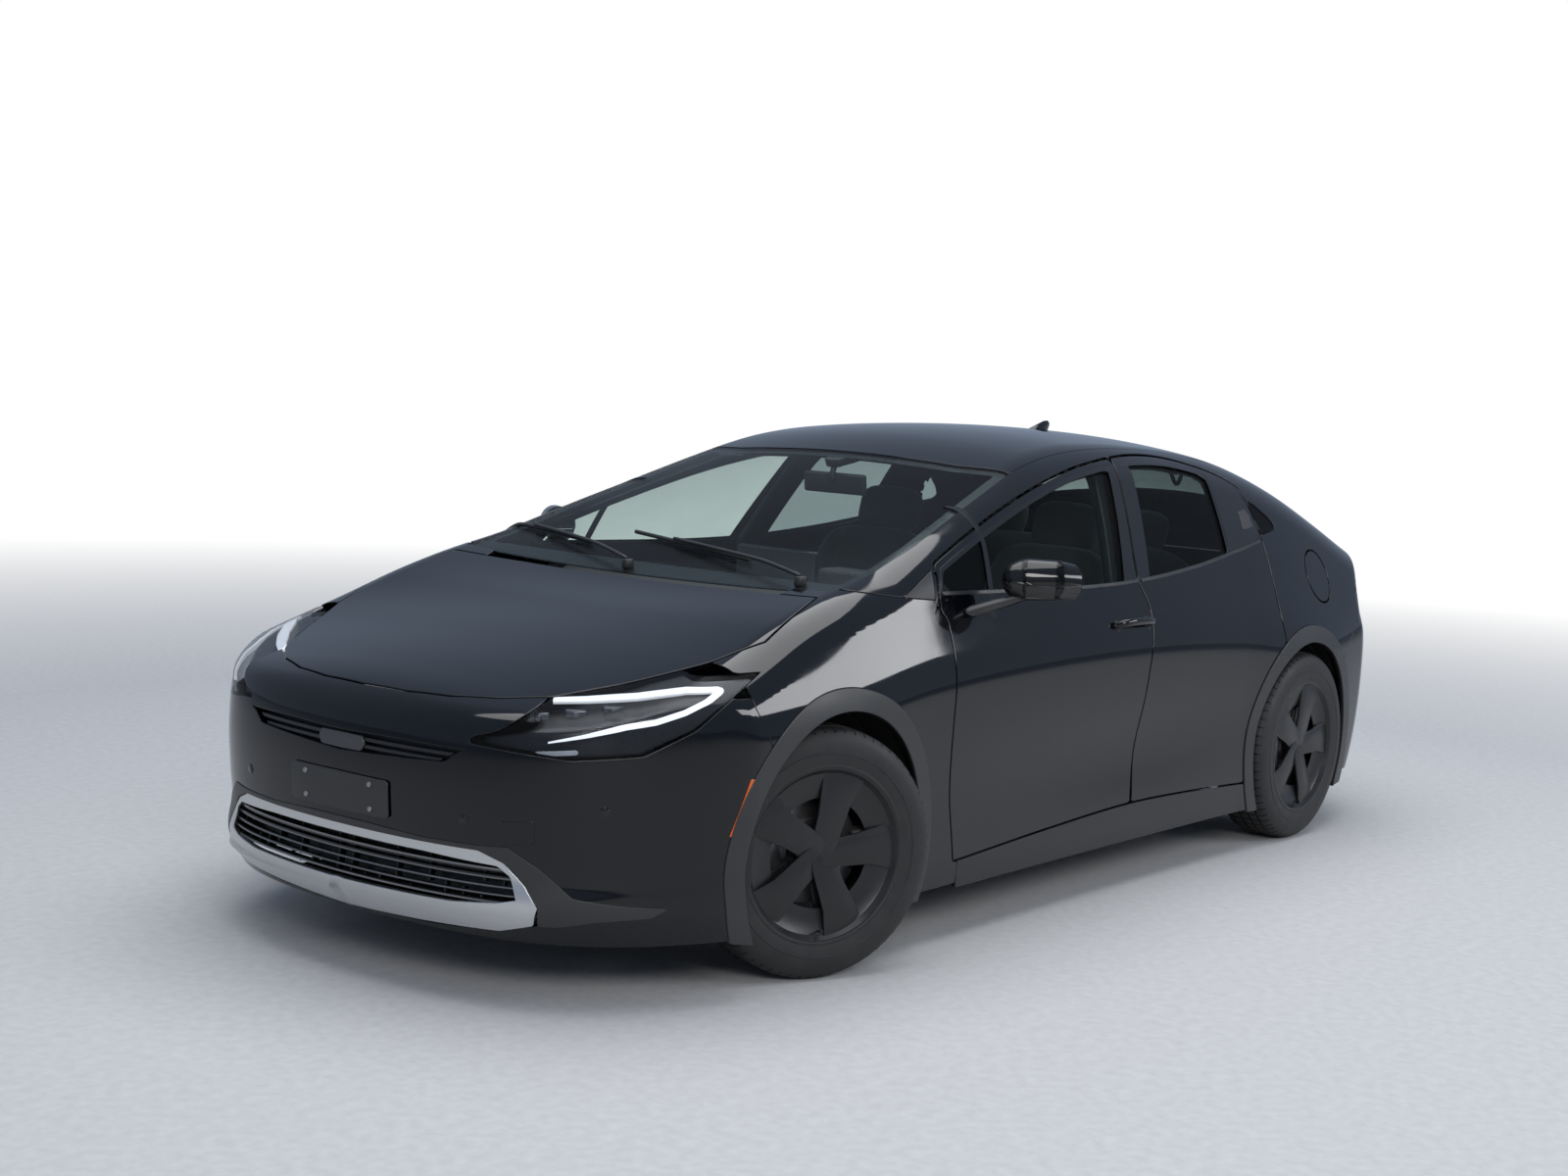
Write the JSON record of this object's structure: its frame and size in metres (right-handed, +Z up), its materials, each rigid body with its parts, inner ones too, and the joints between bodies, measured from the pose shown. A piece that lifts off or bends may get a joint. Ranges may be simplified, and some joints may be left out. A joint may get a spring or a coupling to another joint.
{
  "type": "plug-in hybrid hatchback",
  "caption": "Low five-door plug-in hybrid hatchback with steered front wheels, opening doors, hood and hatch, seats, and lids over the filler and the charging socket.",
  "frame": {"origin": "on the ground under the centre of the car's box", "axes": "+X forwards, +Y to the car's left, +Z up"},
  "size_m": [4.5962, 2.0922, 1.4141],
  "materials": {
    "paint": "deep black gloss paint",
    "satin_trim": "fine-grained satin black plastic",
    "grille_silver": "satin silver grille surround, black slats",
    "glass": "lightly tinted safety glass",
    "dark_glass": "privacy glass",
    "lamp": "clear lamp covers over dark housings",
    "tail_lamp": "red lens",
    "tyre": "black tyre rubber",
    "wheel_cover": "black five-blade wheel cover over a steel rim",
    "cabin_trim": "soft-grained cabin plastic",
    "seat": "woven seat cloth with stitched seams",
    "wheel_grip": "stitched leather rim",
    "underbody": "coated steel",
    "chassis_steel": "black coated steel",
    "cast_block": "cast metal",
    "battery_case": "plain case",
    "tank": "moulded tank",
    "pipe": "exhaust steel"
  },
  "bodies": {
    "body": {"floor_pan": "underbody", "side_frames": "paint", "roof_panel": "paint", "fenders": "paint", "front_bumper": "paint", "lower_grille": "grille_silver", "rear_bumper": "paint", "windshield": "glass", "quarter_glass": "dark_glass", "lamps": "lamp", "arch_trims": "satin_trim", "dashboard": "cabin_trim", "front_seats": "seat", "rear_seat": "seat", "engine_block": "cast_block", "battery_block": "battery_case", "fuel_tank": "tank", "exhaust": "pipe", "suspension": "chassis_steel", "cowl": "satin_trim"},
    "knuckle_left": {"knuckle_left": "cast_block"},
    "knuckle_right": {"knuckle_right": "cast_block"},
    "wheel_fl": {"wheel_fl": "wheel_cover", "tyre_fl": "tyre"},
    "wheel_fr": {"wheel_fr": "wheel_cover", "tyre_fr": "tyre"},
    "wheel_rl": {"wheel_rl": "wheel_cover", "tyre_rl": "tyre"},
    "wheel_rr": {"wheel_rr": "wheel_cover", "tyre_rr": "tyre"},
    "steering_wheel": {"steering_wheel": "wheel_grip"},
    "door_fl": {"door_fl": "paint", "glass_fl": "glass", "mirror_left": "paint"},
    "door_fr": {"door_fr": "paint", "glass_fr": "glass", "mirror_right": "paint"},
    "door_rl": {"door_rl": "paint", "glass_rl": "glass"},
    "door_rr": {"door_rr": "paint", "glass_rr": "glass"},
    "hood": {"hood": "paint"},
    "hatch": {"hatch": "paint", "hatch_glass": "dark_glass", "light_bar": "tail_lamp"},
    "fuel_door": {"fuel_door": "paint"},
    "charge_door": {"charge_door": "paint"}
  },
  "joints": [
    {"name": "steer_left", "type": "hinge", "parent": "body", "child": "knuckle_left", "pos_m": [1.35, 0.75, 0.333], "axis": [0, 0, 1], "range_deg": [-14, 58]},
    {"name": "steer_right", "type": "hinge", "parent": "body", "child": "knuckle_right", "pos_m": [1.35, -0.75, 0.333], "axis": [0, 0, 1], "range_deg": [-14, 58]},
    {"name": "steering_column", "type": "hinge", "parent": "body", "child": "steering_wheel", "pos_m": [0.33, 0.37, 0.835], "axis": [-0.9063, 0, 0.4226], "range_deg": [-200, 815]},
    {"name": "spin_fl", "type": "hinge", "parent": "knuckle_left", "child": "wheel_fl", "pos_m": [1.36124, 0.77782, 0.333], "axis": [0.3746, 0.9272, 0], "continuous": true},
    {"name": "spin_fr", "type": "hinge", "parent": "knuckle_right", "child": "wheel_fr", "pos_m": [1.33876, -0.77782, 0.333], "axis": [0.3746, 0.9272, 0], "continuous": true},
    {"name": "spin_rl", "type": "hinge", "parent": "body", "child": "wheel_rl", "pos_m": [-1.4, 0.785, 0.333], "axis": [0, 1, 0], "continuous": true},
    {"name": "spin_rr", "type": "hinge", "parent": "body", "child": "wheel_rr", "pos_m": [-1.4, -0.785, 0.333], "axis": [0, 1, 0], "continuous": true},
    {"name": "door_fl_hinge", "type": "hinge", "parent": "body", "child": "door_fl", "pos_m": [0.745, 0.848, 0.61], "axis": [0, 0, -1], "range_deg": [0, 65]},
    {"name": "door_fr_hinge", "type": "hinge", "parent": "body", "child": "door_fr", "pos_m": [0.745, -0.848, 0.61], "axis": [0, 0, 1], "range_deg": [0, 65]},
    {"name": "door_rl_hinge", "type": "hinge", "parent": "body", "child": "door_rl", "pos_m": [-0.355, 0.844, 0.67], "axis": [0, 0, -1], "range_deg": [0, 65]},
    {"name": "door_rr_hinge", "type": "hinge", "parent": "body", "child": "door_rr", "pos_m": [-0.355, -0.844, 0.67], "axis": [0, 0, 1], "range_deg": [0, 65]},
    {"name": "hood_hinge", "type": "hinge", "parent": "body", "child": "hood", "pos_m": [1.335, 0, 0.92767], "axis": [0, -1, 0], "range_deg": [0, 50]},
    {"name": "hatch_hinge", "type": "hinge", "parent": "body", "child": "hatch", "pos_m": [-1.098, 0, 1.31862], "axis": [0, 1, 0], "range_deg": [0, 70]},
    {"name": "fuel_door_hinge", "type": "hinge", "parent": "body", "child": "fuel_door", "pos_m": [-1.505, 0.79753, 0.925], "axis": [0, 0.372, -0.9282], "range_deg": [0, 90]},
    {"name": "charge_door_hinge", "type": "hinge", "parent": "body", "child": "charge_door", "pos_m": [-1.505, -0.79753, 0.925], "axis": [0, 0.372, 0.9282], "range_deg": [0, 90]}
  ],
  "couplings": [
    {"joint": "steer_right", "follows": "steer_left", "ratio": 1},
    {"joint": "steering_column", "follows": "steer_left", "ratio": 14}
  ]
}
